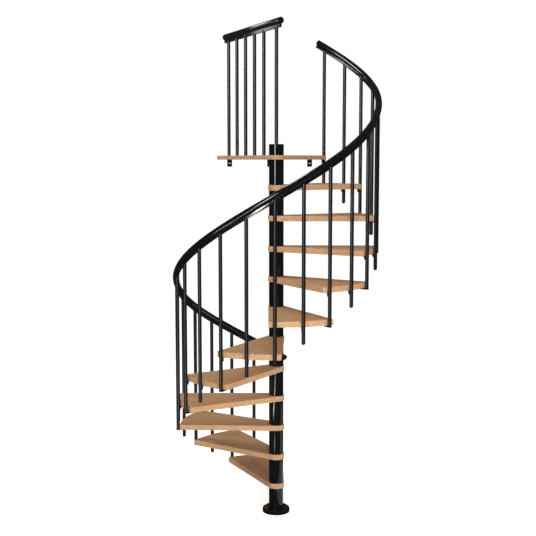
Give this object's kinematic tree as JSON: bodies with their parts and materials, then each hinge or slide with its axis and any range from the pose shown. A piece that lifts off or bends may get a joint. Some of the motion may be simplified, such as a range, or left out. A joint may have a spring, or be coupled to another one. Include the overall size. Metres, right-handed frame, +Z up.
{
  "type": "spiral staircase",
  "caption": "Spiral staircase with a steel centre post, wedge-shaped wooden treads, a landing, and a helical handrail carried on balusters outside the tread ends.",
  "frame": {"origin": "on the floor at the post's axis, in the base flange's underside", "axes": "+Z is up along the post; +Y points at the upper floor, square to the landing's back edge; seen from above, the flight climbs counter-clockwise and ends at the landing"},
  "size_m": [1.531, 1.7082, 3.6809],
  "materials": {
    "black_steel": "semi-gloss black powder coat",
    "bare_steel": "plain drawn tube, hidden inside the spacers",
    "tread_wood": "stave-glued hardwood under satin lacquer",
    "rail_black": "glossy black handrail cover",
    "strip_grey": "dark grey satin bar",
    "cap_black": "moulded end caps"
  },
  "bodies": {
    "root": {"base_flange": "black_steel", "centre_core": "bare_steel", "spacer_tubes": "black_steel", "post_head": "black_steel", "tread_01": "tread_wood", "tread_02": "tread_wood", "tread_03": "tread_wood", "tread_04": "tread_wood", "tread_05": "tread_wood", "tread_06": "tread_wood", "tread_07": "tread_wood", "tread_08": "tread_wood", "tread_09": "tread_wood", "tread_10": "tread_wood", "tread_11": "tread_wood", "landing_slab": "tread_wood", "landing_brackets": "black_steel", "first_baluster": "black_steel", "balusters_01": "black_steel", "balusters_02": "black_steel", "balusters_03": "black_steel", "balusters_04": "black_steel", "balusters_05": "black_steel", "balusters_06": "black_steel", "balusters_07": "black_steel", "balusters_08": "black_steel", "balusters_09": "black_steel", "balusters_10": "black_steel", "balusters_11": "black_steel", "tread_clips": "black_steel", "link_clips": "black_steel", "link_feet": "black_steel", "handrail_1": "rail_black", "handrail_2": "rail_black", "handrail_3": "rail_black", "handrail_4": "rail_black", "rail_strip_1": "strip_grey", "rail_strip_2": "strip_grey", "rail_strip_3": "strip_grey", "rail_strip_4": "strip_grey", "rail_end_caps": "cap_black", "landing_balusters": "black_steel", "landing_rail": "rail_black", "landing_rail_strip": "strip_grey"}
  },
  "joints": []
}
